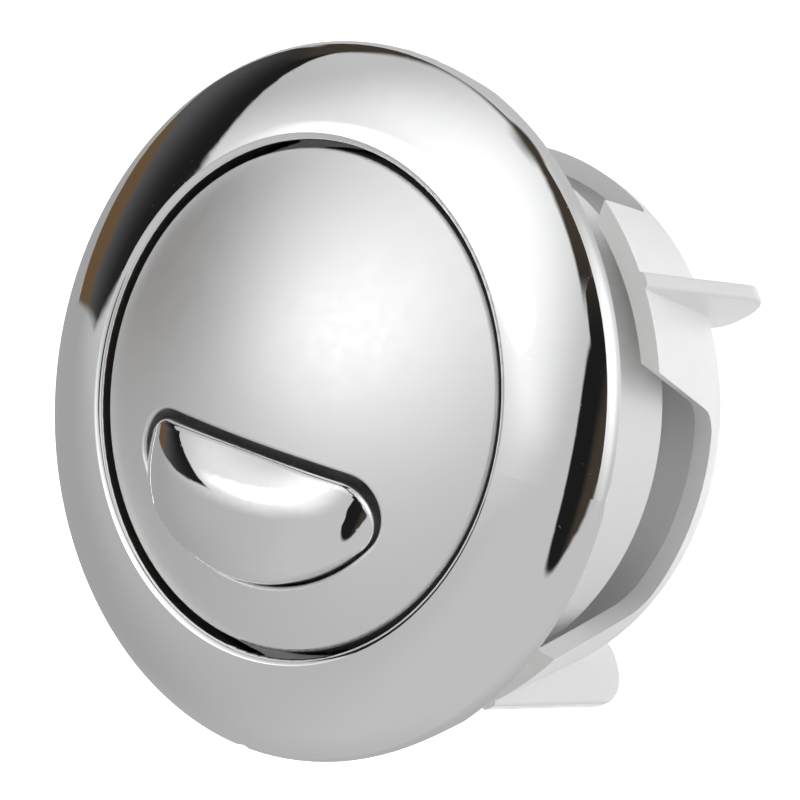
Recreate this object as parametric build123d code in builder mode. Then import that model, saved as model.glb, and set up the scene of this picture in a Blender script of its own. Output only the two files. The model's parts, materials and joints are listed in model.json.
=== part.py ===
from build123d import *
from math import atan2, degrees, radians, sqrt, tan
import os

# Dual-flush push button for a cistern, in millimetres. The origin is the centre of the seat on the
# panel, +Z points out of the buttons' face and the half-moon button lies towards -Y.

# Clearances
slide_gap = 0.35
stop_gap = 0.3
push_fit = 0.05
seal_gap = 0.2

# Main button
main_radius = 25.3
main_edge_height = 5.6
main_crown = 5.5
main_edge_round = 0.5
main_wall = 1.8
main_skirt_wall = 1.4
main_skirt_length = 7.6
main_ledge = 0.7
main_travel = 6.0

# Half-moon opening in the main button and the half-moon button in it
moon_margin = 6.5
moon_depth = 14.2
moon_corner = 4.0
moon_edge_round = 0.35
collar_wall = 1.2
collar_end = 1.8
half_arc_gap = 0.2
half_chord_gap = 0.85
half_proud = 1.3
half_ridge_place = 6.7
half_ridge_radius = 29.0
half_cross_radius = 18.0
half_side_fall = 1.0
half_long_radius = 95.0
half_end_fall = 3.0
half_edge_round = 0.9
half_wall = 1.5
crown_margin = 0.8
half_travel = 5.0

# Bezel ring
bezel_gap = 0.7
bezel_width = 10.6
bezel_shoulder = 2.0
bezel_shoulder_height = 1.1
bezel_foot_inset = 0.8
bezel_foot_height = 0.3
bezel_wall = 1.6
lip_height = 6.4
lip_round = 0.7
sleeve_wall = 1.6

# Housing: flange under the bezel, neck through the panel, floor and threaded stem
gasket_thickness = 0.8
flange_thickness = 1.2
flange_gap = 0.8
neck_wall = 2.05
neck_length = 18.7
floor_thickness = 2.0
snap_reach = 1.65
snap_thickness = 1.2
stem_step = 7.25
stem_wall = 1.8
stem_length = 21.3

# Clamp nut
panel_space = 11.15
nut_turned = 37.75
nut_count = 4
nut_spread = 4.96
nut_taper = 14.4
nut_wall = 2.1
nut_length = 19.35
nut_floor = 2.2
nut_round = 3.3
nut_inner_round = 1.6
hub_wall = 2.1
hub_height = 6.5
cut_land = 4.38
cut_front_width = 31.0
cut_floor_width = 21.6
cut_corner = 3.0
fin_reach = 0.44
fin_root = 2.29
fin_thickness = 1.8
fin_overhang = 4.3
fin_corner = 4.5
fin_inner_corner = 2.5
fin_edge_round = 0.5

# Carrier under the main button
carrier_seat = 1.3
carrier_thickness = 1.8
moon_flange = 0.8
moon_flange_thickness = 1.2
sleeve_floor = 1.5
guide_wall = 1.2
leg_count = 3
leg_thickness = 1.8
leg_width = 6.0
hook_reach = 1.2
hook_height = 1.6
rod_boss_height = 2.5

# Air pumps in the stem
pump_gap = 0.3
bore_radius = 4.2
pump_wall = 1.2
pump_length = 21.3
pump_top_wall = 3.0
pump_plate_thickness = 1.5
pump_plate_gap = 0.9
pump_web = 2.0
stop_post_radius = 2.2
stop_post_spread = 13.0
stop_post_place = 6.0
rod_radius = 1.8
head_gap = 0.4
head_length = 3.0
head_rest_gap = 2.8
seal_wire = 0.6
cap_thickness = 2.5
cap_plug_length = 2.6
spigot_radius = 2.3
spigot_barb = 0.4
spigot_length = 12.0
spigot_bore = 1.25
barb_count = 3

# Springs and screws
main_spring_radius = 4.2
main_spring_wire = 0.45
main_spring_turns = 6
half_spring_radius = 2.6
half_spring_wire = 0.35
half_spring_turns = 5
plunger_plate = 1.6
plunger_height = 4.9
screw_count = 3
screw_step = 0.5
screw_radius = 1.3
screw_length = 6.0
screw_head_radius = 2.3
screw_head_height = 1.2
screw_lobe_wall = 0.9
boss_wall = 0.8
boss_length = 3.8

# Levels along the axis
flange_top = gasket_thickness + flange_thickness
neck_end = -neck_length
floor_top = neck_end + floor_thickness
stem_end = neck_end - stem_length
main_top = main_edge_height + main_crown
half_top = main_top + half_proud
skirt_end = main_edge_height - main_skirt_length
carrier_bottom = carrier_seat - carrier_thickness
snap_top = skirt_end - main_travel - 2 * stop_gap
snap_bottom = snap_top - snap_thickness
hook_top = snap_bottom - stop_gap
hook_end = hook_top - hook_height
moon_flange_top = collar_end - stop_gap
moon_flange_bottom = moon_flange_top - moon_flange_thickness
sleeve_floor_top = moon_flange_bottom - half_travel - stop_gap
sleeve_bottom = sleeve_floor_top - sleeve_floor
plunger_top = moon_flange_top + plunger_height
plunger_ceiling = plunger_top - plunger_plate
plate_top = floor_top + pump_plate_thickness
stop_post_top = carrier_bottom - main_travel - stop_gap
bore_top = plate_top - pump_top_wall
pump_end = floor_top - pump_length
head_top = bore_top - head_rest_gap
nut_front = -panel_space
nut_end = nut_front - nut_length
nut_floor_top = nut_end + nut_floor
cut_depth = nut_length - cut_land
cut_floor = nut_front - cut_depth

# Radii that follow from the fits
moon_radius = main_radius - moon_margin
moon_chord = moon_radius - moon_depth
half_apex = moon_chord + half_ridge_place
half_corner = moon_corner - half_arc_gap
half_corner_run = moon_radius - half_arc_gap - half_corner
half_corner_place = moon_chord + half_chord_gap + half_corner
half_reach = sqrt(half_corner_run**2 - half_corner_place**2) + half_corner
bezel_hole = main_radius + bezel_gap
bezel_radius = bezel_hole + bezel_width
bezel_foot_radius = bezel_radius - bezel_foot_inset
rim_bore = bezel_foot_radius - bezel_wall
flange_radius = rim_bore - flange_gap
neck_bore = main_radius + slide_gap
neck_radius = neck_bore + neck_wall
snap_bore = neck_bore - snap_reach
leg_outer = snap_bore - slide_gap
leg_radius = leg_outer - leg_thickness
slot_bore = leg_radius - slide_gap
slot_radius = leg_outer + hook_reach + slide_gap
stem_radius = neck_bore - stem_step
stem_bore = stem_radius - stem_wall
screw_circle = stem_radius + screw_step
pump_radius = bore_radius + pump_wall
pump_offset = stem_bore - pump_gap - pump_radius
pump_plate_radius = slot_bore - pump_plate_gap
head_radius = bore_radius - head_gap
rod_boss_radius = main_spring_radius - main_spring_wire - slide_gap
nut_front_radius = neck_radius + nut_spread
nut_taper_slope = tan(radians(nut_taper))
nut_end_radius = nut_front_radius - nut_length * nut_taper_slope
fin_radius = nut_front_radius + fin_reach
fin_inner_radius = nut_end_radius - fin_root
skirt_bore = main_radius - main_skirt_wall
carrier_radius = skirt_bore - push_fit
guide_growth = moon_flange + slide_gap
nut_bore = stem_radius + slide_gap
dome_radius = (main_radius**2 + main_crown**2) / (2 * main_crown)

os.makedirs("parts", exist_ok=True)


def dome_height(radius, inset):
    """Height of the main button's dome at a radius, on a sphere that lies the given inset inside it."""
    return main_top - dome_radius + sqrt((dome_radius - inset) ** 2 - radius**2)


def half_moon(height, arc_radius, chord, corner):
    """Half-moon outline on a level plane: an arc about the axis closed by a chord, with round corners."""
    half_chord = sqrt(arc_radius**2 - chord**2)
    with BuildSketch(Plane.XY.offset(height)) as outline:
        with BuildLine():
            ThreePointArc((-half_chord, -chord), (0, -arc_radius), (half_chord, -chord))
            Line((half_chord, -chord), (-half_chord, -chord))
        make_face()
        fillet(outline.vertices(), corner)
    return outline.sketch


def moon_opening(height, growth):
    """Outline of the opening in the main button, grown on all sides."""
    return half_moon(height, moon_radius + growth, moon_chord - growth, moon_corner + growth)


def moon_button(height, inset):
    """Outline of the half-moon button, drawn in on all sides."""
    arc_radius = moon_radius - half_arc_gap - inset
    chord = moon_chord + half_chord_gap + inset
    return half_moon(height, arc_radius, chord, half_corner - inset / 2)


def crown_height(across, along):
    """Height of the half-moon button's crown, whose ridge bends with the outline and falls off at its ends."""
    off_ridge = along + half_apex - across**2 / (2 * half_ridge_radius)
    long_fall = across**2 / (2 * half_long_radius) + half_end_fall * (abs(across) / half_reach) ** 5
    side_fall = off_ridge**2 / (2 * half_cross_radius) + half_side_fall * (2 * off_ridge / moon_depth) ** 4
    return half_top - long_fall - side_fall


def coil_spring(place, radius, wire, turns, bottom, top):
    """Round-wire compression spring between two seats."""
    height = top - bottom - 2 * wire
    with BuildPart() as coil:
        with BuildLine() as path:
            Helix(height / turns, height, radius, center=(0, place, bottom + wire))
        with BuildSketch(Plane(path.line @ 0, z_dir=path.line % 0)):
            Circle(wire)
        sweep(is_frenet=True)
    return coil.part


def piston(place, rod_top):
    """Piston rod with a grooved head, on a pump axis."""
    groove_radius = bore_radius - seal_gap - 2 * seal_wire
    groove_top = head_top - head_length / 2 + seal_wire + push_fit
    groove_bottom = head_top - head_length / 2 - seal_wire - push_fit
    head_bottom = head_top - head_length
    with BuildPart() as body:
        with BuildSketch(Plane.XZ.offset(-place)):
            with BuildLine():
                Polyline(
                    (0, rod_top),
                    (rod_radius, rod_top),
                    (rod_radius, head_top),
                    (head_radius, head_top),
                    (head_radius, groove_top),
                    (groove_radius, groove_top),
                    (groove_radius, groove_bottom),
                    (head_radius, groove_bottom),
                    (head_radius, head_bottom),
                    (0, head_bottom),
                    close=True,
                )
            make_face()
        revolve(axis=Axis((0, place, 0), (0, 0, 1)))
    return body.part


def seal_ring(place, outer_radius, height):
    """Round rubber ring on a pump axis."""
    with BuildPart() as ring:
        with BuildSketch(Plane.XZ.offset(-place)):
            with Locations((outer_radius - seal_wire, height)):
                Circle(seal_wire)
        revolve(axis=Axis((0, place, 0), (0, 0, 1)))
    return ring.part


def countersunk_screw(top):
    """Flat-head screw on the axis, its head flush with the given level."""
    with BuildPart() as screw:
        with BuildSketch(Plane.XZ):
            with BuildLine():
                Polyline(
                    (0, top),
                    (screw_head_radius, top),
                    (screw_radius, top - screw_head_height),
                    (screw_radius, top - screw_length),
                    (0, top - screw_length),
                    close=True,
                )
            make_face()
        revolve(axis=Axis.Z)
    return screw.part


def write(piece, name):
    """Names a finished piece and writes it."""
    piece.part.label = name
    export_step(piece.part, f"parts/{name}.step")


# Bezel: lip, convex face and round shoulder meet tangentially, over a hollow back with a centre sleeve
shoulder_centre = bezel_radius - bezel_shoulder
lip_centre = bezel_hole + lip_round
face_run = shoulder_centre - lip_centre
face_drop = lip_height - bezel_shoulder_height
face_radius = (face_run**2 + face_drop**2 - bezel_shoulder**2) / (2 * (face_drop - bezel_shoulder))
face_centre = lip_height - face_radius
shoulder_angle = degrees(atan2(bezel_shoulder_height - face_centre, face_run))
back_radius = face_radius - bezel_wall
back_rim_height = face_centre + sqrt(back_radius**2 - (rim_bore - lip_centre) ** 2)
sleeve_radius = bezel_hole + sleeve_wall
back_sleeve_height = face_centre + sqrt(back_radius**2 - (sleeve_radius - lip_centre) ** 2)
back_middle = (rim_bore + sleeve_radius) / 2
back_middle_height = face_centre + sqrt(back_radius**2 - (back_middle - lip_centre) ** 2)

with BuildPart() as bezel:
    with BuildSketch(Plane.XZ):
        with BuildLine():
            Line((bezel_hole, flange_top), (bezel_hole, lip_height - lip_round))
            CenterArc((lip_centre, lip_height - lip_round), lip_round, 180, -90)
            CenterArc((lip_centre, face_centre), face_radius, 90, shoulder_angle - 90)
            CenterArc((shoulder_centre, bezel_shoulder_height), bezel_shoulder, shoulder_angle, -shoulder_angle)
            Line((bezel_radius, bezel_shoulder_height), (bezel_foot_radius, bezel_foot_height))
            Line((bezel_foot_radius, bezel_foot_height), (rim_bore, bezel_foot_height))
            Line((rim_bore, bezel_foot_height), (rim_bore, back_rim_height))
            ThreePointArc(
                (rim_bore, back_rim_height),
                (back_middle, back_middle_height),
                (sleeve_radius, back_sleeve_height),
            )
            Line((sleeve_radius, back_sleeve_height), (sleeve_radius, flange_top))
            Line((sleeve_radius, flange_top), (bezel_hole, flange_top))
        make_face()
    revolve(axis=Axis.Z)
write(bezel, "bezel")

# Gasket between flange and panel
with BuildPart() as panel_gasket:
    with BuildSketch():
        Circle(flange_radius)
        Circle(neck_radius + stop_gap, mode=Mode.SUBTRACT)
    extrude(amount=gasket_thickness)
write(panel_gasket, "panel_gasket")

# Housing: one moulding of flange, neck with a snap ledge, floor slotted for the carrier's legs, and stem
boss_radius = screw_radius + push_fit + boss_wall

with BuildPart() as housing:
    with BuildSketch(Plane.XZ):
        with BuildLine():
            Polyline(
                (neck_bore, flange_top),
                (flange_radius, flange_top),
                (flange_radius, gasket_thickness),
                (neck_radius, gasket_thickness),
                (neck_radius, neck_end),
                (stem_radius, neck_end),
                (stem_radius, stem_end),
                (stem_bore, stem_end),
                (stem_bore, floor_top),
                (neck_bore, floor_top),
                (neck_bore, snap_bottom),
                (snap_bore, snap_bottom),
                (snap_bore, snap_top),
                (neck_bore, snap_top),
                close=True,
            )
        make_face()
    revolve(axis=Axis.Z)
    with BuildSketch(Plane.XY.offset(neck_end)):
        with PolarLocations(screw_circle, screw_count, start_angle=30):
            Circle(boss_radius)
    extrude(amount=-boss_length)
    with BuildSketch(Plane.XY.offset(floor_top)):
        with PolarLocations(screw_circle, screw_count, start_angle=30):
            Circle(screw_radius + push_fit)
    extrude(amount=-(floor_thickness + boss_length), mode=Mode.SUBTRACT)
    with BuildSketch(Plane.XY.offset(floor_top)):
        with PolarLocations((slot_bore + slot_radius) / 2, leg_count, start_angle=90):
            Rectangle(slot_radius - slot_bore, leg_width + 2 * slide_gap)
    extrude(amount=-floor_thickness, mode=Mode.SUBTRACT)
write(housing, "housing")

# Main button: domed cap with a skirt, a ledge for the carrier and a collar round the half-moon opening
ledge_bore = skirt_bore - main_ledge

with BuildPart() as cap_hollow:
    with BuildSketch(Plane.XZ):
        with BuildLine():
            Polyline(
                (0, main_top - main_wall),
                (0, skirt_end),
                (skirt_bore, skirt_end),
                (skirt_bore, carrier_seat),
                (ledge_bore, carrier_seat),
                (ledge_bore, dome_height(ledge_bore, main_wall)),
            )
            ThreePointArc(
                (ledge_bore, dome_height(ledge_bore, main_wall)),
                (ledge_bore / 2, dome_height(ledge_bore / 2, main_wall)),
                (0, main_top - main_wall),
            )
        make_face()
    revolve(axis=Axis.Z)
    extrude(moon_opening(collar_end, collar_wall), amount=main_top, mode=Mode.SUBTRACT)

with BuildPart() as main_cap:
    with BuildSketch(Plane.XZ) as cap_profile:
        with BuildLine():
            Polyline(
                (0, main_top),
                (0, skirt_end),
                (main_radius, skirt_end),
                (main_radius, main_edge_height),
            )
            ThreePointArc(
                (main_radius, main_edge_height),
                (main_radius / 2, dome_height(main_radius / 2, 0)),
                (0, main_top),
            )
        make_face()
        rim = cap_profile.vertices().group_by(Axis.X)[-1].sort_by(Axis.Y)[-1]
        fillet(rim, main_edge_round)
    revolve(axis=Axis.Z)
    add(cap_hollow.part, mode=Mode.SUBTRACT)
    extrude(moon_opening(skirt_end, 0), amount=main_top + main_skirt_length, mode=Mode.SUBTRACT)
    opening_edges = main_cap.edges(Select.LAST).filter_by(lambda edge: edge.center().Z > main_edge_height)
    fillet(opening_edges, moon_edge_round)
write(main_cap, "main_cap")

# Half-moon button: prism under a pillow-shaped crown, hollowed to an even wall
crown_steps = 24
crown_side = half_reach + crown_margin
crown_near = crown_margin - moon_chord
crown_far = -moon_radius - crown_margin
crown_points = []
for column in range(crown_steps + 1):
    across = crown_side * (2 * column / crown_steps - 1)
    line = []
    for row in range(crown_steps + 1):
        along = crown_far + (crown_near - crown_far) * row / crown_steps
        line.append(Vector(across, along, crown_height(across, along)))
    crown_points.append(line)
crown = Face.make_surface_from_array_of_points(crown_points)

with BuildPart() as pillow:
    extrude(crown, amount=2 * half_top, dir=(0, 0, -1))

with BuildPart() as half_hollow:
    extrude(moon_button(moon_flange_top, half_wall), amount=half_top)
    add(pillow.part.moved(Location((0, 0, -half_wall))), mode=Mode.INTERSECT)

with BuildPart() as half_cap:
    extrude(moon_button(moon_flange_top, 0), amount=half_top)
    add(pillow.part, mode=Mode.INTERSECT)
    crown_face = half_cap.faces().sort_by(Axis.Z)[-1]
    fillet(crown_face.edges(), half_edge_round)
    add(half_hollow.part, mode=Mode.SUBTRACT)
write(half_cap, "half_cap")

# Carrier: disc on the cap's ledge, guide sleeve for the half button, rod boss and three snap legs
leg_top = carrier_bottom + carrier_thickness / 2

with BuildPart() as leg:
    with BuildSketch(Plane.XZ):
        with BuildLine():
            Polyline(
                (leg_radius, leg_top),
                (leg_outer, leg_top),
                (leg_outer, hook_top),
                (leg_outer + hook_reach, hook_top),
                (leg_outer, hook_end),
                (leg_radius, hook_end),
                close=True,
            )
        make_face()
    extrude(amount=leg_width / 2, both=True)

with BuildPart() as main_carrier:
    with BuildSketch(Plane.XY.offset(carrier_bottom)):
        Circle(carrier_radius)
    extrude(amount=carrier_thickness)
    extrude(moon_opening(sleeve_bottom, guide_growth + guide_wall), amount=carrier_seat - sleeve_bottom)
    with BuildSketch(Plane.XY.offset(carrier_bottom)):
        with Locations((0, pump_offset)):
            Circle(rod_boss_radius)
    extrude(amount=-rod_boss_height)
    with PolarLocations(0, leg_count, start_angle=90):
        add(leg.part)
    guide_depth = carrier_seat - sleeve_floor_top
    extrude(moon_opening(sleeve_floor_top, guide_growth), amount=guide_depth, mode=Mode.SUBTRACT)
    with BuildSketch(Plane.XY.offset(sleeve_bottom)):
        with Locations((0, -pump_offset)):
            Circle(rod_radius + slide_gap)
    extrude(amount=sleeve_floor, mode=Mode.SUBTRACT)
    with BuildSketch(Plane.XY.offset(carrier_bottom - rod_boss_height)):
        with Locations((0, pump_offset)):
            Circle(rod_radius + push_fit)
    extrude(amount=rod_boss_height + carrier_thickness / 2, mode=Mode.SUBTRACT)
write(main_carrier, "main_carrier")

# Plunger under the half-moon button: stop flange, body in the button and a pocket for the spring
with BuildPart() as half_plunger:
    extrude(moon_opening(moon_flange_bottom, moon_flange), amount=moon_flange_thickness)
    extrude(moon_button(moon_flange_top, half_wall + push_fit), amount=plunger_top - moon_flange_top)
    with BuildSketch(Plane.XY.offset(moon_flange_bottom)):
        with Locations((0, -pump_offset)):
            Circle(half_spring_radius + half_spring_wire + stop_gap)
    extrude(amount=plunger_ceiling - moon_flange_bottom, mode=Mode.SUBTRACT)
    with BuildSketch(Plane.XY.offset(plunger_ceiling)):
        with Locations((0, -pump_offset)):
            Circle(rod_radius + push_fit)
    extrude(amount=plunger_plate / 2, mode=Mode.SUBTRACT)
write(half_plunger, "half_plunger")

# Pump block: plate on the housing's floor and two cylinders side by side in the stem
with BuildPart() as pump_block:
    with BuildSketch(Plane.XY.offset(floor_top)):
        Circle(pump_plate_radius)
        with PolarLocations(screw_circle, screw_count, start_angle=30):
            Circle(screw_head_radius + screw_lobe_wall)
    extrude(amount=pump_plate_thickness)
    with BuildSketch(Plane.XY.offset(floor_top)):
        with Locations((stop_post_spread, stop_post_place), (-stop_post_spread, stop_post_place)):
            Circle(stop_post_radius)
    extrude(amount=stop_post_top - floor_top)
    with BuildSketch(Plane.XY.offset(floor_top)):
        with Locations((0, pump_offset), (0, -pump_offset)):
            Circle(pump_radius)
        Rectangle(pump_web, 2 * pump_offset)
        Circle(screw_radius + push_fit + pump_wall)
    extrude(amount=-pump_length)
    with BuildSketch(Plane.XY.offset(pump_end)):
        with Locations((0, pump_offset), (0, -pump_offset)):
            Circle(bore_radius)
    extrude(amount=bore_top - pump_end, mode=Mode.SUBTRACT)
    with BuildSketch(Plane.XY.offset(bore_top)):
        with Locations((0, pump_offset), (0, -pump_offset)):
            Circle(rod_radius + slide_gap)
    extrude(amount=pump_top_wall, mode=Mode.SUBTRACT)
    with Locations(Plane.XY.offset(plate_top)):
        with PolarLocations(screw_circle, screw_count, start_angle=30):
            CounterSinkHole(screw_radius + push_fit, screw_head_radius + push_fit, depth=pump_plate_thickness)
    with BuildSketch(Plane.XY.offset(pump_end)):
        Circle(screw_radius + push_fit)
    extrude(amount=screw_length, mode=Mode.SUBTRACT)
write(pump_block, "pump_block")

# Pump cap: cover with a plug in each cylinder and a barbed tube spigot behind each plug
cap_end = pump_end - cap_thickness
plug_radius = bore_radius - push_fit
plug_groove = bore_radius - push_fit - 2 * seal_wire
plug_middle = pump_end + cap_plug_length / 2
barb_pitch = spigot_length / (barb_count + 1)

with BuildPart() as barb:
    with BuildSketch(Plane.XZ):
        with BuildLine():
            Polyline(
                (0, 0),
                (spigot_radius + spigot_barb, 0),
                (spigot_radius, -barb_pitch),
                (0, -barb_pitch),
                close=True,
            )
        make_face()
    revolve(axis=Axis.Z)

with BuildPart() as pump_cap:
    with BuildSketch(Plane.XY.offset(pump_end)):
        with Locations((0, pump_offset), (0, -pump_offset)):
            Circle(pump_radius)
        Rectangle(2 * pump_wall + 2 * bore_radius, 2 * pump_offset)
    extrude(amount=-cap_thickness)
    with BuildSketch(Plane.XY.offset(pump_end)):
        with Locations((0, pump_offset), (0, -pump_offset)):
            Circle(plug_radius)
    extrude(amount=cap_plug_length)
    with BuildSketch(Plane.XY.offset(plug_middle - seal_wire - push_fit)):
        with Locations((0, pump_offset), (0, -pump_offset)):
            Circle(bore_radius)
            Circle(plug_groove, mode=Mode.SUBTRACT)
    extrude(amount=2 * (seal_wire + push_fit), mode=Mode.SUBTRACT)
    with BuildSketch(Plane.XY.offset(cap_end)):
        with Locations((0, pump_offset), (0, -pump_offset)):
            Circle(spigot_radius)
    extrude(amount=-spigot_length)
    for index in range(barb_count):
        barb_level = cap_end - barb_pitch * (index + 1)
        with Locations((0, pump_offset, barb_level), (0, -pump_offset, barb_level)):
            add(barb.part)
    with BuildSketch(Plane.XY.offset(cap_end - spigot_length)):
        with Locations((0, pump_offset), (0, -pump_offset)):
            Circle(spigot_bore)
    extrude(amount=spigot_length + cap_thickness + cap_plug_length, mode=Mode.SUBTRACT)
    with Locations(Plane.XY.offset(cap_end).rotated((180, 0, 0))):
        CounterSinkHole(screw_radius + push_fit, screw_head_radius + push_fit, depth=cap_thickness)
write(pump_cap, "pump_cap")

# Pistons with their rings, and the rings of the pump cap
with BuildPart() as full_piston:
    add(piston(pump_offset, carrier_bottom + carrier_thickness / 2))
write(full_piston, "full_piston")

with BuildPart() as half_piston:
    add(piston(-pump_offset, plunger_ceiling + plunger_plate / 2))
write(half_piston, "half_piston")

head_middle = head_top - head_length / 2

with BuildPart() as full_piston_seal:
    add(seal_ring(pump_offset, bore_radius - seal_gap, head_middle))
write(full_piston_seal, "full_piston_seal")

with BuildPart() as half_piston_seal:
    add(seal_ring(-pump_offset, bore_radius - seal_gap, head_middle))
write(half_piston_seal, "half_piston_seal")

with BuildPart() as cap_seal_full:
    add(seal_ring(pump_offset, plug_radius, plug_middle))
write(cap_seal_full, "cap_seal_full")

with BuildPart() as cap_seal_half:
    add(seal_ring(-pump_offset, plug_radius, plug_middle))
write(cap_seal_half, "cap_seal_half")

# Return springs, coaxial with the rods
with BuildPart() as main_spring:
    add(coil_spring(pump_offset, main_spring_radius, main_spring_wire, main_spring_turns, plate_top, carrier_bottom))
write(main_spring, "main_spring")

with BuildPart() as half_spring:
    add(
        coil_spring(
            -pump_offset, half_spring_radius, half_spring_wire, half_spring_turns, sleeve_floor_top, plunger_ceiling
        )
    )
write(half_spring, "half_spring")

# Screws: three through the pump block's plate, one through the pump cap
screw_places = PolarLocations(screw_circle, screw_count, start_angle=30)
for number, place in enumerate(screw_places.locations, start=1):
    with BuildPart() as block_screw:
        with Locations(place):
            add(countersunk_screw(plate_top))
    write(block_screw, f"block_screw_{number}")

with BuildPart() as cap_screw:
    with Locations(Plane.XY.offset(cap_end).rotated((180, 0, 0))):
        add(countersunk_screw(0))
write(cap_screw, "cap_screw")

# Clamp nut: tapered cup with a threaded hub, four wide cut-outs in its front edge and a fin on each tab
nut_inner_front = nut_front_radius - nut_wall
nut_inner_floor = nut_inner_front - (nut_length - nut_floor) * nut_taper_slope
hub_radius = nut_bore + hub_wall
cut_slope = (cut_front_width - cut_floor_width) / 2 / cut_depth
cut_front = nut_front + nut_wall
cut_open_half = cut_front_width / 2 + cut_slope * nut_wall
wall_middle_front = nut_front_radius - nut_wall / 2
wall_middle_end = wall_middle_front - (nut_length - nut_floor / 2) * nut_taper_slope
fin_end = nut_end - fin_overhang

with BuildPart() as cut_out:
    with BuildSketch(Plane.YZ.offset(hub_radius + nut_wall)) as cut_profile:
        with BuildLine():
            Polyline(
                (-cut_open_half, cut_front),
                (-cut_floor_width / 2, cut_floor),
                (cut_floor_width / 2, cut_floor),
                (cut_open_half, cut_front),
                close=True,
            )
        make_face()
        fillet(cut_profile.vertices().group_by(Axis.Y)[0], cut_corner)
    extrude(amount=nut_front_radius)

with BuildPart() as fin:
    with BuildSketch(Plane.XZ) as fin_profile:
        with BuildLine():
            Polyline(
                (wall_middle_front, nut_front),
                (fin_radius, nut_front),
                (fin_radius, fin_end),
                (fin_inner_radius, fin_end),
                (fin_inner_radius, nut_end + nut_floor / 2),
                (wall_middle_end, nut_end + nut_floor / 2),
                close=True,
            )
        make_face()
        fin_corners = fin_profile.vertices().group_by(Axis.Y)[0].sort_by(Axis.X)
        fillet(fin_corners[-1], fin_corner)
        inner_end = fin_profile.vertices().group_by(Axis.Y)[0].sort_by(Axis.X)[0]
        fillet(inner_end, fin_inner_corner)
    extrude(amount=fin_thickness / 2, both=True)
    fin_sides = fin.faces().filter_by(Axis.Y)
    behind_front = fin_sides.edges().filter_by(lambda edge: edge.center().Z < nut_front - fin_edge_round)
    fillet(behind_front.filter_by(lambda edge: edge.center().X > fin_radius - fin_corner), fin_edge_round)

with BuildPart() as clamp_nut:
    with BuildSketch(Plane.XZ) as nut_profile:
        with BuildLine():
            Polyline(
                (nut_inner_front, nut_front),
                (nut_front_radius, nut_front),
                (nut_end_radius, nut_end),
                (nut_bore, nut_end),
                (nut_bore, nut_end + hub_height),
                (hub_radius, nut_end + hub_height),
                (hub_radius, nut_floor_top),
                (nut_inner_floor, nut_floor_top),
                close=True,
            )
        make_face()
        fillet(nut_profile.vertices().sort_by_distance((nut_end_radius, nut_end))[0], nut_round)
        fillet(nut_profile.vertices().sort_by_distance((nut_inner_floor, nut_floor_top))[0], nut_inner_round)
    revolve(axis=Axis.Z)
    with PolarLocations(0, nut_count, start_angle=nut_turned + 180 / nut_count):
        add(cut_out.part, mode=Mode.SUBTRACT)
    with PolarLocations(0, nut_count, start_angle=nut_turned):
        add(fin.part)
write(clamp_nut, "clamp_nut")
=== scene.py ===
import json
import math

import bpy
from mathutils import Matrix, Vector


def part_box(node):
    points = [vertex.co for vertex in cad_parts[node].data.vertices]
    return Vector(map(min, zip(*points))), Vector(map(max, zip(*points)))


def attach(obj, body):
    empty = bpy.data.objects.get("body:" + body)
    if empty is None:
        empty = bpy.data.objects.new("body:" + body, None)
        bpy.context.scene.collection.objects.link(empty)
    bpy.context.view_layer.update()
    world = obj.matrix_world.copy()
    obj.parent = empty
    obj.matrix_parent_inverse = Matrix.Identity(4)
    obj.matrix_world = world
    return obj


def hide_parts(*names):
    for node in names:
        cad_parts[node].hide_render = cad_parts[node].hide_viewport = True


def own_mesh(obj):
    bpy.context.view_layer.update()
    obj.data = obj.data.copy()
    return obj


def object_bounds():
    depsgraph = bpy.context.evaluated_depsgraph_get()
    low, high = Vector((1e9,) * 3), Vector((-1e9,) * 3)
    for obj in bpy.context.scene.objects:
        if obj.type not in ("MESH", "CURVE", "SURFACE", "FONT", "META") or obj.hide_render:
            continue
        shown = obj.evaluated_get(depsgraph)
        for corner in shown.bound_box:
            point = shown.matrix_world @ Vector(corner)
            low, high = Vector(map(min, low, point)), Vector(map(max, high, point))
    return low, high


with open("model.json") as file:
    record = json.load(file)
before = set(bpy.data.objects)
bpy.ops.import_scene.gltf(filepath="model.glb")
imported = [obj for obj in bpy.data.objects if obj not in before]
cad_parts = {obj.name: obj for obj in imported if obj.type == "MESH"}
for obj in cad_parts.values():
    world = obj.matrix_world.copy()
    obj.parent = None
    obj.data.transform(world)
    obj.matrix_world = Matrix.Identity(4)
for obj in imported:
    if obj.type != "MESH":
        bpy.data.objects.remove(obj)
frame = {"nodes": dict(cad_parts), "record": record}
cad_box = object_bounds()
scene = bpy.context.scene
nodes = frame["nodes"]

# Camera: long lens, above and to the right of the face, with the button's axis to the left in the picture
camera_place = Vector((0.25172, 0.05443, 0.31240))
camera_forward = Vector((-0.60909, -0.13013, -0.78235))
camera_up = Vector((-0.26277, 0.96384, 0.04426))
camera_lens = 180.0
camera_sensor = 36.0
camera_near = 0.01
camera_far = 20.0

# Studio around the object, in degrees right and up from the way to the camera
to_camera = -camera_forward
camera_right = camera_forward.cross(camera_up)
studio_strength = 1.0
least_sideways = 0.0001

# Light levels and colours of the studio
tent_level = 0.56
tent_left_level = 0.38
tent_low_level = 0.46
paper_level = 2.0
back_level = 1.8
panel_level = 1.15
left_lamp_level = 4.6
right_lamp_level = 1.6
room_dark_level = 0.012
room_grey_level = 0.095
room_brown = (0.135, 0.085, 0.046, 1.0)
room_dim_brown = (0.052, 0.042, 0.032, 1.0)

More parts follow.
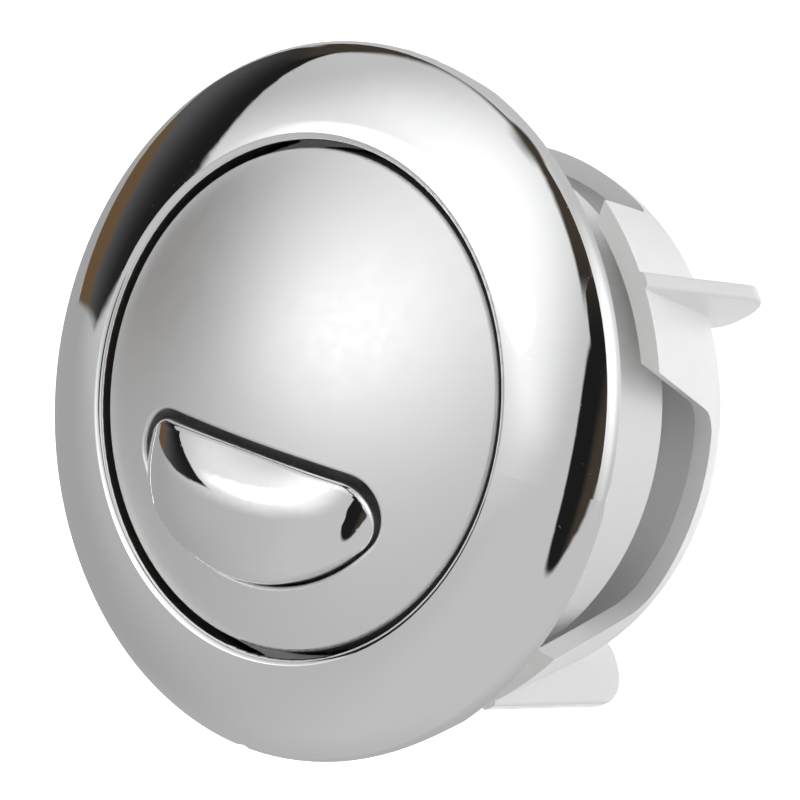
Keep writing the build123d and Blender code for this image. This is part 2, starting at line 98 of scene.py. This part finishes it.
# Ovals of the studio: centre, half size and turn in degrees, and how soft the edge of a plain one is
paper_below = {"centre": (0, -168), "half_size": (110, 46), "turn": 0, "softness": 0.06}
paper_right = {"centre": (150, -10), "half_size": (50, 110), "turn": 0, "softness": 0.4}
paper_above = {"centre": (50, 165), "half_size": (110, 40), "turn": 0, "softness": 0.1}
left_glow_oval = {"centre": (-45, 30), "half_size": (62, 29), "turn": 37}
right_panel_oval = {"centre": (53, 16), "half_size": (44, 50), "turn": 0}
left_lamp_oval = {"centre": (-59, 18), "half_size": (23, 10), "turn": 6}
right_lamp_oval = {"centre": (52, 16), "half_size": (15, 15), "turn": 0, "softness": 0.5}
frame_oval = {"centre": (-37, 35), "half_size": (48, 66), "turn": 0}
opening_oval = {"centre": (-80, 40), "half_size": (48, 68), "turn": 0, "softness": 0.015}
line_oval = {"centre": (-50, 30), "half_size": (55, 68), "turn": 0}
line_end_oval = {"centre": (9, 20), "half_size": (5, 13), "turn": 0, "softness": 0.15}
wedge_oval = {"centre": (7, 71), "half_size": (17, 10), "turn": 30, "softness": 0.25}
camera_oval = {"centre": (1, -8), "half_size": (11, 26), "turn": -19, "softness": 0.07}

# Fades of the studio from start to end, in degrees across or above, the slanted ones with their slope
tent_left_fade = (-50, -120)
tent_low_fade = (-60, -110)
panel_low_slope = 0.25
panel_low_fade = (-20, -6)
panel_left_slope = -0.35
panel_left_fade = (-93, -71)
panel_left_dim = 0.5
table_slope = 0.47
table_edge_fade = (-34, -32)
table_top_fade = (9, 11)
room_brown_fade = (-106, -110)
line_low_fade = (20, 32)
line_left_fade = (-75, -60)
line_brown_fade = (15, 45)
stand_slope = -0.34
stand_fade = (6, 12)

# Fades of the studio from start to end, in shares of an oval's half size
left_glow_fade = (0.1, 1.6)
right_panel_fade = (0.2, 1.05)
left_lamp_fade = (0.1, 1.0)
frame_edge_fade = (0.97, 0.99)
room_depth_fade = (1.0, 1.62)
line_inner_fade = (0.92, 0.965)
line_outer_fade = (1.06, 1.13)

# Floor under the lowest point
floor_drop = 0.0005
floor_size = 3.0
floor_level = 0.8
floor_roughness = 0.9
floor_glow_level = 1.0
floor_glow_strength = 1.0

# Thread wound round the stem, in metres
thread_pitch = 0.003
thread_start = 0.0012
thread_length = 0.0135
thread_foot = 0.0009
thread_land = 0.0004
thread_sink = 0.0001
thread_gap = 0.00005
thread_steps = 72
thread_fade = 24
thread_sides = 4

# Painted shade on the main button's skirt, under its plated top: dark brown and not metallic, standing in
# for the shade in the gap round the button, in metres
skirt_shade_brown = (0.08, 0.066, 0.055, 1.0)
skirt_roughness = 0.2
skirt_fade = 0.00005
skirt_radius = 0.0250
skirt_level = 0.0054

# Cross recess in the screws' heads, in metres
cross_reach = 0.0013
cross_half_width = 0.0004
cross_end_reach = 0.0006
cross_end_half_width = 0.00025
cross_depth = 0.0013
cross_lap = 0.0002

# Edges of new pieces that turn by more than this, in degrees, stay sharp
sharp_turn = 35

# Range that most of a noise texture's values lie in
noise_range = (0.3, 0.7)

# Places of the colour sockets on a Mix node
mix_share = 0
mix_first = 6
mix_second = 7
mix_result = 2


def shader_node(tree, kind, **settings):
    """New node with the given properties set."""
    made = tree.nodes.new(kind)
    for name, value in settings.items():
        setattr(made, name, value)
    return made


def feed(tree, socket, source):
    """Sets a socket to a value, or links it to another node's output."""
    if isinstance(source, bpy.types.NodeSocket):
        tree.links.new(source, socket)
    else:
        socket.default_value = source


def calc(tree, operation, first, second=0.0, third=0.0):
    """Output of a Math node."""
    made = shader_node(tree, "ShaderNodeMath", operation=operation)
    feed(tree, made.inputs[0], first)
    feed(tree, made.inputs[1], second)
    feed(tree, made.inputs[2], third)
    return made.outputs[0]


def product(tree, first, *others):
    """Product of two or more values."""
    result = first
    for other in others:
        result = calc(tree, "MULTIPLY", result, other)
    return result


def hypotenuse(tree, first, second):
    """Length of the long side over two square ones."""
    squares = calc(tree, "ADD", product(tree, first, first), product(tree, second, second))
    return calc(tree, "SQRT", squares)


def ramp(tree, value, fade, start=0.0, end=1.0):
    """Smooth step from start to end as a value runs through a fade."""
    made = shader_node(tree, "ShaderNodeMapRange", interpolation_type="SMOOTHSTEP")
    feed(tree, made.inputs["Value"], value)
    made.inputs["From Min"].default_value = fade[0]
    made.inputs["From Max"].default_value = fade[1]
    made.inputs["To Min"].default_value = start
    made.inputs["To Max"].default_value = end
    return made.outputs["Result"]


def blend_colour(tree, share, first, second):
    """Mix of two colours by a share from 0 to 1."""
    made = shader_node(tree, "ShaderNodeMix", data_type="RGBA")
    feed(tree, made.inputs[mix_share], share)
    feed(tree, made.inputs[mix_first], first)
    feed(tree, made.inputs[mix_second], second)
    return made.outputs[mix_result]


def dot(tree, vector, axis):
    """Share of a direction along an axis."""
    made = shader_node(tree, "ShaderNodeVectorMath", operation="DOT_PRODUCT")
    tree.links.new(vector, made.inputs[0])
    made.inputs[1].default_value = axis
    return made.outputs["Value"]


def oval_distance(tree, place, centre, half_size, turn):
    """Distance from an oval's centre on the studio's map, 1 at its edge."""
    made = shader_node(tree, "ShaderNodeMapping", vector_type="TEXTURE")
    tree.links.new(place, made.inputs["Vector"])
    made.inputs["Location"].default_value = (centre[0], centre[1], 0)
    made.inputs["Rotation"].default_value = (0, 0, math.radians(turn))
    made.inputs["Scale"].default_value = (half_size[0], half_size[1], 1)
    length = shader_node(tree, "ShaderNodeVectorMath", operation="LENGTH")
    tree.links.new(made.outputs[0], length.inputs[0])
    return length.outputs["Value"]


def oval_mask(tree, place, centre, half_size, turn, softness):
    """Mask of a soft-edged oval on the studio's map."""
    distance = oval_distance(tree, place, centre, half_size, turn)
    return ramp(tree, distance, (1 - softness, 1 + softness), 1.0, 0.0)


def grey(level):
    return (level, level, level, 1.0)


# Studio light: a pale tent with two soft panels, dark openings beside the left one and the dark camera side
def build_studio():
    world = bpy.data.worlds.new("studio")
    scene.world = world
    world.use_nodes = True
    tree = world.node_tree
    background = tree.nodes["Background"]
    way = shader_node(tree, "ShaderNodeTexCoord").outputs["Generated"]
    right = dot(tree, way, camera_right)
    up = dot(tree, way, camera_up)
    near = dot(tree, way, to_camera)
    sideways = hypotenuse(tree, right, up)
    angle = product(tree, calc(tree, "ARCTAN2", sideways, near), math.degrees(1))
    scale = calc(tree, "DIVIDE", angle, calc(tree, "MAXIMUM", sideways, least_sideways))
    across = product(tree, right, scale)
    above = product(tree, up, scale)
    combine = shader_node(tree, "ShaderNodeCombineXYZ")
    tree.links.new(across, combine.inputs[0])
    tree.links.new(above, combine.inputs[1])
    place = combine.outputs[0]

    # Pale tent, dimmer to the left and below, with white paper behind
    colour = blend_colour(tree, ramp(tree, across, tent_left_fade), grey(tent_level), grey(tent_left_level))
    colour = blend_colour(tree, ramp(tree, above, tent_low_fade), colour, grey(tent_low_level))
    colour = blend_colour(tree, oval_mask(tree, place, **paper_below), colour, grey(paper_level))
    colour = blend_colour(tree, oval_mask(tree, place, **paper_right), colour, grey(paper_level))
    colour = blend_colour(tree, oval_mask(tree, place, **paper_above), colour, grey(back_level))

    # Soft panels and the lamps in them
    left_glow = ramp(tree, oval_distance(tree, place, **left_glow_oval), left_glow_fade, 1.0, 0.0)
    panel_low = calc(tree, "MULTIPLY_ADD", across, panel_low_slope, above)
    panel_left = calc(tree, "MULTIPLY_ADD", above, panel_left_slope, across)
    over_edge = ramp(tree, panel_low, panel_low_fade)
    beside_frame = ramp(tree, panel_left, panel_left_fade, panel_left_dim, 1.0)
    left_panel = product(tree, left_glow, over_edge, beside_frame)
    colour = blend_colour(tree, left_panel, colour, grey(panel_level))
    right_panel = ramp(tree, oval_distance(tree, place, **right_panel_oval), right_panel_fade, 1.0, 0.0)
    colour = blend_colour(tree, right_panel, colour, grey(panel_level))
    left_lamp = ramp(tree, oval_distance(tree, place, **left_lamp_oval), left_lamp_fade, 1.0, 0.0)
    colour = blend_colour(tree, left_lamp, colour, grey(left_lamp_level))
    colour = blend_colour(tree, oval_mask(tree, place, **right_lamp_oval), colour, grey(right_lamp_level))

    # Dark opening to the left of the left panel
    frame_distance = oval_distance(tree, place, **frame_oval)
    outside = ramp(tree, frame_distance, frame_edge_fade)
    opening = oval_mask(tree, place, **opening_oval)
    table_edge = calc(tree, "MULTIPLY_ADD", across, table_slope, above)
    over_table = product(tree, ramp(tree, table_edge, table_edge_fade), ramp(tree, above, table_top_fade))
    dark = product(tree, outside, opening, over_table)
    depth = ramp(tree, frame_distance, room_depth_fade)
    room = blend_colour(tree, depth, grey(room_dark_level), grey(room_grey_level))
    room = blend_colour(tree, ramp(tree, across, room_brown_fade), room, room_brown)
    colour = blend_colour(tree, dark, colour, room)

    # Dark line round the panel's frame, its lower end and the wedge at its top
    line_distance = oval_distance(tree, place, **line_oval)
    within_line = ramp(tree, line_distance, line_outer_fade, 1.0, 0.0)
    line = product(tree, ramp(tree, line_distance, line_inner_fade), within_line)
    line = product(tree, line, ramp(tree, above, line_low_fade), ramp(tree, across, line_left_fade))
    line = calc(tree, "MAXIMUM", line, oval_mask(tree, place, **line_end_oval))
    line_brown = ramp(tree, above, line_brown_fade)
    line_colour = blend_colour(tree, line_brown, grey(room_dark_level), room_dim_brown)
    colour = blend_colour(tree, line, colour, line_colour)
    colour = blend_colour(tree, oval_mask(tree, place, **wedge_oval), colour, room_dim_brown)

    # Dark camera and its stand, brown on the right
    beside_camera = calc(tree, "MULTIPLY_ADD", above, stand_slope, across)
    stand = blend_colour(tree, ramp(tree, beside_camera, stand_fade), grey(room_dark_level), room_dim_brown)
    colour = blend_colour(tree, oval_mask(tree, place, **camera_oval), colour, stand)
    tree.links.new(colour, background.inputs["Color"])
    background.inputs["Strength"].default_value = studio_strength


# Floor: a pale sheet that reads as plain white paper
def build_floor():
    half = floor_size / 2
    level = cad_box[0][2] - floor_drop
    mesh = bpy.data.meshes.new("floor")
    corners = [(-half, -half, level), (half, -half, level), (half, half, level), (-half, half, level)]
    mesh.from_pydata(corners, [], [(0, 1, 2, 3)])
    floor = bpy.data.objects.new("floor", mesh)
    scene.collection.objects.link(floor)
    floor.visible_glossy = False
    floor.visible_diffuse = False
    floor.visible_shadow = False
    paper = bpy.data.materials.new("paper")
    paper.use_nodes = True
    surface = paper.node_tree.nodes["Principled BSDF"]
    surface.inputs["Base Color"].default_value = grey(floor_level)
    surface.inputs["Roughness"].default_value = floor_roughness
    surface.inputs["Emission Color"].default_value = grey(floor_glow_level)
    surface.inputs["Emission Strength"].default_value = floor_glow_strength
    mesh.materials.append(paper)


def new_surface(name):
    """New material with its tree, its main shader and object-space coordinates."""
    made = bpy.data.materials.new(name)
    made.use_nodes = True
    tree = made.node_tree
    surface = tree.nodes["Principled BSDF"]
    place = shader_node(tree, "ShaderNodeTexCoord").outputs["Object"]
    return made, tree, surface, place


def noise(tree, place, scale, detail=3.0, stretch=(1, 1, 1)):
    """Value of a noise texture, its scale in features per metre."""
    mapping = shader_node(tree, "ShaderNodeMapping")
    tree.links.new(place, mapping.inputs["Vector"])
    mapping.inputs["Scale"].default_value = stretch
    made = shader_node(tree, "ShaderNodeTexNoise")
    tree.links.new(mapping.outputs[0], made.inputs["Vector"])
    made.inputs["Scale"].default_value = scale
    made.inputs["Detail"].default_value = detail
    return made.outputs["Fac"]


def relief(tree, surface, height, depth, strength):
    """Bump from a height, its depth in metres."""
    bump = shader_node(tree, "ShaderNodeBump")
    tree.links.new(height, bump.inputs["Height"])
    bump.inputs["Distance"].default_value = depth
    bump.inputs["Strength"].default_value = strength
    tree.links.new(bump.outputs[0], surface.inputs["Normal"])


def paint(tree, surface, share, first, second):
    """Base colour between two colours."""
    feed(tree, surface.inputs["Base Color"], blend_colour(tree, share, first, second))


def skirt_shade_mask(tree, place):
    """Mask of the main button's skirt, on its outer wall under the rounded edge, where shade is painted."""
    split = shader_node(tree, "ShaderNodeSeparateXYZ")
    tree.links.new(place, split.inputs[0])
    x, y, z = split.outputs
    outer = ramp(tree, hypotenuse(tree, x, y), (skirt_radius - skirt_fade, skirt_radius))
    return product(tree, outer, ramp(tree, z, (skirt_level - skirt_fade, skirt_level), 1.0, 0.0))


def polished_chrome():
    made, tree, surface, place = new_surface("polished_chrome")
    surface.inputs["Metallic"].default_value = 1.0
    cloud = noise(tree, place, scale=60)
    paint(tree, surface, cloud, first=(0.90, 0.905, 0.91, 1), second=(0.93, 0.93, 0.93, 1))
    specks = ramp(tree, noise(tree, place, scale=2400, detail=1), fade=(0.73, 0.80), start=0.0, end=0.15)
    haze = ramp(tree, noise(tree, place, scale=900, detail=5), fade=(0.35, 0.75), start=0.015, end=0.035)
    feed(tree, surface.inputs["Roughness"], calc(tree, "ADD", haze, specks))
    relief(tree, surface, noise(tree, place, scale=260, detail=2), depth=0.00002, strength=0.15)
    return made


def satin_chrome():
    made, tree, surface, place = new_surface("satin_chrome")
    cloud = noise(tree, place, scale=90)
    plating = blend_colour(tree, cloud, first=(0.85, 0.85, 0.85, 1), second=(0.88, 0.88, 0.88, 1))
    grain = ramp(tree, noise(tree, place, scale=700, detail=5), noise_range, start=0.46, end=0.49)
    # Painted shade: the skirt is made dark brown and not metallic, for the shade in the gap between the
    # button and the bezel
    shaded_skirt = skirt_shade_mask(tree, place)
    paint(tree, surface, shaded_skirt, plating, skirt_shade_brown)
    feed(tree, surface.inputs["Metallic"], calc(tree, "SUBTRACT", 1.0, shaded_skirt))
    feed(tree, surface.inputs["Roughness"], calc(tree, "MULTIPLY_ADD", shaded_skirt, skirt_roughness, grain))
    relief(tree, surface, noise(tree, place, scale=9000, detail=2), depth=0.000004, strength=0.15)
    return made


def moulded(name, colours, cloud_scale, gloss_scale, roughness, grain_scale, grain_depth, grain_strength):
    """Moulded plastic or rubber, with soft clouds of colour, uneven gloss and a fine grain."""
    made, tree, surface, place = new_surface(name)
    paint(tree, surface, noise(tree, place, cloud_scale), *colours)
    gloss = noise(tree, place, gloss_scale, detail=4)
    feed(tree, surface.inputs["Roughness"], ramp(tree, gloss, noise_range, *roughness))
    relief(tree, surface, noise(tree, place, grain_scale), grain_depth, grain_strength)
    return made


def white_plastic():
    return moulded(
        "white_plastic",
        colours=((0.88, 0.88, 0.88, 1), (0.91, 0.91, 0.905, 1)),
        cloud_scale=70,
        gloss_scale=500,
        roughness=(0.36, 0.46),
        grain_scale=2600,
        grain_depth=0.00003,
        grain_strength=0.15,
    )


def natural_plastic():
    return moulded(
        "natural_plastic",
        colours=((0.72, 0.71, 0.67, 1), (0.78, 0.77, 0.73, 1)),
        cloud_scale=80,
        gloss_scale=500,
        roughness=(0.45, 0.58),
        grain_scale=2200,
        grain_depth=0.00004,
        grain_strength=0.2,
    )


def black_rubber():
    return moulded(
        "black_rubber",
        colours=((0.015, 0.015, 0.015, 1), (0.03, 0.03, 0.03, 1)),
        cloud_scale=300,
        gloss_scale=900,
        roughness=(0.55, 0.7),
        grain_scale=4000,
        grain_depth=0.00004,
        grain_strength=0.3,
    )


def closed_foam():
    cell_scale = 1800
    made, tree, surface, place = new_surface("closed_foam")
    cells = shader_node(tree, "ShaderNodeTexVoronoi")
    tree.links.new(place, cells.inputs["Vector"])
    cells.inputs["Scale"].default_value = cell_scale
    distance = cells.outputs["Distance"]
    paint(tree, surface, distance, first=(0.68, 0.68, 0.66, 1), second=(0.78, 0.78, 0.76, 1))
    feed(tree, surface.inputs["Roughness"], ramp(tree, distance, fade=(0.0, 0.8), start=0.95, end=0.8))
    relief(tree, surface, distance, depth=0.00012, strength=0.5)
    return made


def bright_steel():
    made, tree, surface, place = new_surface("bright_steel")
    surface.inputs["Metallic"].default_value = 1.0
    drawn = noise(tree, place, scale=900, detail=4, stretch=(1, 1, 0.05))
    paint(tree, surface, drawn, first=(0.58, 0.58, 0.59, 1), second=(0.68, 0.68, 0.69, 1))
    feed(tree, surface.inputs["Roughness"], ramp(tree, drawn, noise_range, start=0.2, end=0.34))
    relief(tree, surface, drawn, depth=0.00001, strength=0.2)
    return made


def axis_distance(point):
    return math.hypot(point.x, point.y)


def new_piece(name, points, faces, body):
    """New mesh object that rides on a body."""
    mesh = bpy.data.meshes.new(name)
    mesh.from_pydata(points, [], faces)
    mesh.shade_smooth()
    mesh.set_sharp_from_angle(angle=math.radians(sharp_turn))
    piece = bpy.data.objects.new(name, mesh)
    scene.collection.objects.link(piece)
    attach(piece, body)
    return piece


def build_thread():
    """Low ridge wound round the stem, which the clamp nut runs on."""
    housing_points = [vertex.co for vertex in nodes["housing"].data.vertices]
    stem_end = min(point.z for point in housing_points)
    stem_radius = max(axis_distance(point) for point in housing_points if point.z < stem_end + thread_sink)
    nut_bore = min(axis_distance(vertex.co) for vertex in nodes["clamp_nut"].data.vertices)
    root = stem_radius - thread_sink
    crest = nut_bore - thread_gap
    steps = round(thread_length / thread_pitch * thread_steps)
    points = []
    faces = [tuple(range(thread_sides))]
    for step in range(steps + 1):
        angle = math.tau * step / thread_steps
        level = stem_end + thread_start + thread_pitch * step / thread_steps
        rise = min(step + 1, steps + 1 - step, thread_fade) / thread_fade
        top = root + (crest - root) * rise
        profile = ((root, -thread_foot), (top, -thread_land), (top, thread_land), (root, thread_foot))
        for radius, shift in profile:
            points.append((radius * math.cos(angle), radius * math.sin(angle), level + shift))
    for step in range(steps):
        for side in range(thread_sides):
            here = thread_sides * step + side
            beside = thread_sides * step + (side + 1) % thread_sides
            faces.append((here, here + thread_sides, beside + thread_sides, beside))
    last = thread_sides * steps
    faces.append(tuple(reversed(range(last, last + thread_sides))))
    thread = new_piece("stem_thread", points, faces, "fixed")
    thread.data.materials.append(finishes["white_plastic"])


def plus_outline(reach, half_width):
    """Corners of a plus sign, anticlockwise from its right arm."""
    corners = []
    for quarter in range(4):
        for along, across in ((reach, -half_width), (reach, half_width), (half_width, half_width)):
            turned = Vector((along, across)) @ Matrix.Rotation(-quarter * math.pi / 2, 2)
            corners.append((turned.x, turned.y))
    return corners


def cut_cross(node, head_up):
    """Cuts a cross recess into the flat head of a screw."""
    low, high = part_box(node)
    centre = ((low[0] + high[0]) / 2, (low[1] + high[1]) / 2)
    head = high[2] if head_up else low[2]
    outward = 1 if head_up else -1
    mouth = plus_outline(cross_reach, cross_half_width)
    bottom = plus_outline(cross_end_reach, cross_end_half_width)
    points = [(centre[0] + x, centre[1] + y, head - outward * cross_depth) for x, y in bottom]
    points += [(centre[0] + x, centre[1] + y, head + outward * cross_lap) for x, y in mouth]
    count = len(mouth)
    faces = [tuple(reversed(range(count))), tuple(range(count, 2 * count))]
    for corner in range(count):
        following = (corner + 1) % count
        faces.append((corner, following, count + following, count + corner))
    if not head_up:
        faces = [tuple(reversed(face)) for face in faces]
    cutter = new_piece(node + "_recess", points, faces, "fixed")
    cutter.hide_render = True
    recess = nodes[node].modifiers.new("recess", "BOOLEAN")
    recess.operation = "DIFFERENCE"
    recess.solver = "EXACT"
    recess.object = cutter


def build_spring(node, body):
    """Copy of a spring on its own mesh, riding on a body, in the place of the rigid one."""
    spring = bpy.data.objects.new(node + "_coil", nodes[node].data.copy())
    scene.collection.objects.link(spring)
    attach(spring, body)
    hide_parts(node)
    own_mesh(spring)


def build_camera():
    data = bpy.data.cameras.new("camera")
    data.lens = camera_lens
    data.sensor_width = camera_sensor
    data.clip_start = camera_near
    data.clip_end = camera_far
    camera = bpy.data.objects.new("camera", data)
    turn = Matrix((camera_right, camera_up, to_camera)).transposed().to_4x4()
    camera.matrix_world = Matrix.Translation(camera_place) @ turn
    scene.collection.objects.link(camera)
    scene.camera = camera


build_camera()
build_studio()
build_floor()
scene.view_settings.view_transform = "Standard"

finishes = {
    "chrome": polished_chrome(),
    "satin_chrome": satin_chrome(),
    "white_plastic": white_plastic(),
    "natural_plastic": natural_plastic(),
    "black_rubber": black_rubber(),
    "foam": closed_foam(),
    "steel": bright_steel(),
}
for part in frame["record"]["subparts"]:
    for surface_slot in nodes[part["node"]].material_slots:
        surface_slot.material = finishes[part["material_slot"]]

build_thread()
cut_cross("cap_screw", False)
for number in (1, 2, 3):
    cut_cross(f"block_screw_{number}", True)
build_spring("main_spring", "fixed")
build_spring("half_spring", "main")
